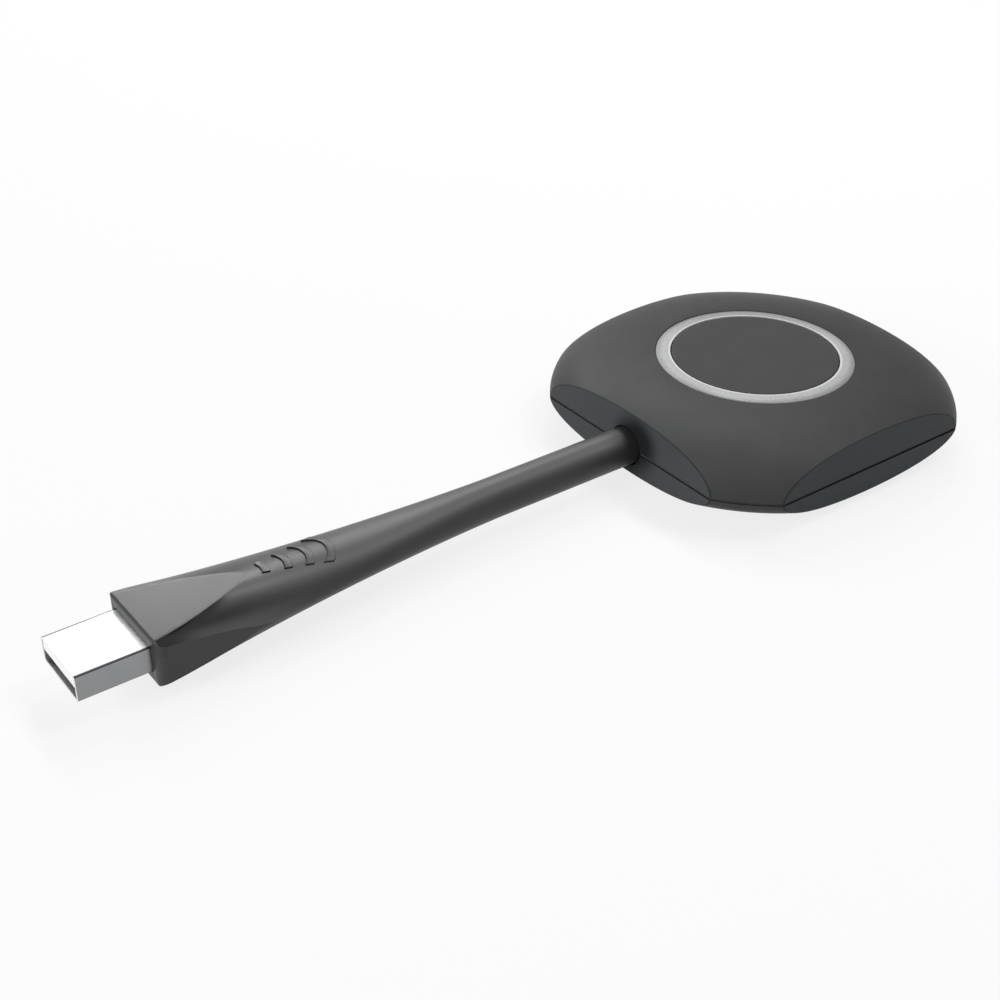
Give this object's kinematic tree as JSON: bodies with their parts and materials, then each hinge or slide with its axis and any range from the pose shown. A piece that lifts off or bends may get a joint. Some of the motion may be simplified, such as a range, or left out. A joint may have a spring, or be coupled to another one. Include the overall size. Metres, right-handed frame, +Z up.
{
  "type": "wireless screen sharing dongle",
  "caption": "Domed square puck with a round press button in a light ring, on a tapered stem moulding that ends in a USB type A plug.",
  "frame": {"origin": "on the underside of the rubber foot, under the axis of the round button", "axes": "+Z up out of the button, +Y from the plug towards the puck, +X across the puck"},
  "size_m": [0.062, 0.1695, 0.0156],
  "materials": {
    "shell_black": "fine-grained matt black ABS",
    "button_black": "fine-grained matt black ABS",
    "ring_frosted": "frosted translucent polycarbonate",
    "reflector_white": "white reflective plastic",
    "guide_black": "black acetal",
    "plunger_white": "white acetal",
    "tail_black": "satin black thermoplastic elastomer",
    "foot_rubber": "soft matt rubber",
    "jacket_black": "PVC cable jacket",
    "mould_grey": "hard polypropylene",
    "plug_steel": "nickel plated steel",
    "tongue_white": "white glass-filled nylon",
    "contact_gold": "gold plated",
    "board_green": "solder mask",
    "chip_black": "moulded epoxy",
    "tin_grey": "tinned sheet",
    "passive_tan": "ceramic",
    "lamp_white": "lamp lens",
    "pad_blue": "silicone thermal pad",
    "spreader_aluminium": "rolled sheet",
    "antenna_copper": "copper on film",
    "screw_steel": "black zinc",
    "wire_red": "PVC insulation",
    "wire_white": "PVC insulation",
    "wire_green": "PVC insulation",
    "wire_black": "PVC insulation",
    "core_copper": "bare ends of the cable's cores"
  },
  "bodies": {
    "housing": {"top_shell": "shell_black", "bottom_shell": "shell_black", "light_ring": "ring_frosted", "ring_reflector": "reflector_white", "button_guide": "guide_black", "switch_body": "guide_black", "board_header": "plunger_white", "wire_housing": "plunger_white", "tail_moulding": "tail_black", "foot_pad": "foot_rubber", "usb_cable": "jacket_black", "coax_left": "jacket_black", "coax_right": "jacket_black", "plug_inner_mould": "mould_grey", "cable_clamp": "mould_grey", "usb_shell": "plug_steel", "usb_tongue": "tongue_white", "usb_contacts": "contact_gold", "crimp_ferrule": "contact_gold", "coax_plugs": "contact_gold", "coax_sockets": "contact_gold", "main_board": "board_green", "wifi_board": "board_green", "soc_chip": "chip_black", "memory_chip": "chip_black", "flash_chip": "chip_black", "power_regulator": "chip_black", "power_inductor": "chip_black", "resistors": "chip_black", "wifi_can": "tin_grey", "crystal": "tin_grey", "switch_legs": "tin_grey", "capacitors": "passive_tan", "status_leds": "lamp_white", "thermal_pad": "pad_blue", "heat_spreader": "spreader_aluminium", "antenna_left": "antenna_copper", "antenna_right": "antenna_copper", "shell_screws": "screw_steel", "board_screws": "screw_steel", "clamp_screws": "screw_steel", "wire_red": "wire_red", "wire_white": "wire_white", "wire_green": "wire_green", "wire_black": "wire_black", "plug_conductors": "core_copper"},
    "button": {"button_cap": "button_black", "switch_plunger": "plunger_white"}
  },
  "joints": [
    {"name": "button_press", "type": "slide", "parent": "housing", "child": "button", "axis": [0, 0, -1], "range_m": [0, 0.0005], "stiffness_N_per_m": 2000, "springref_m": -0.0005}
  ]
}
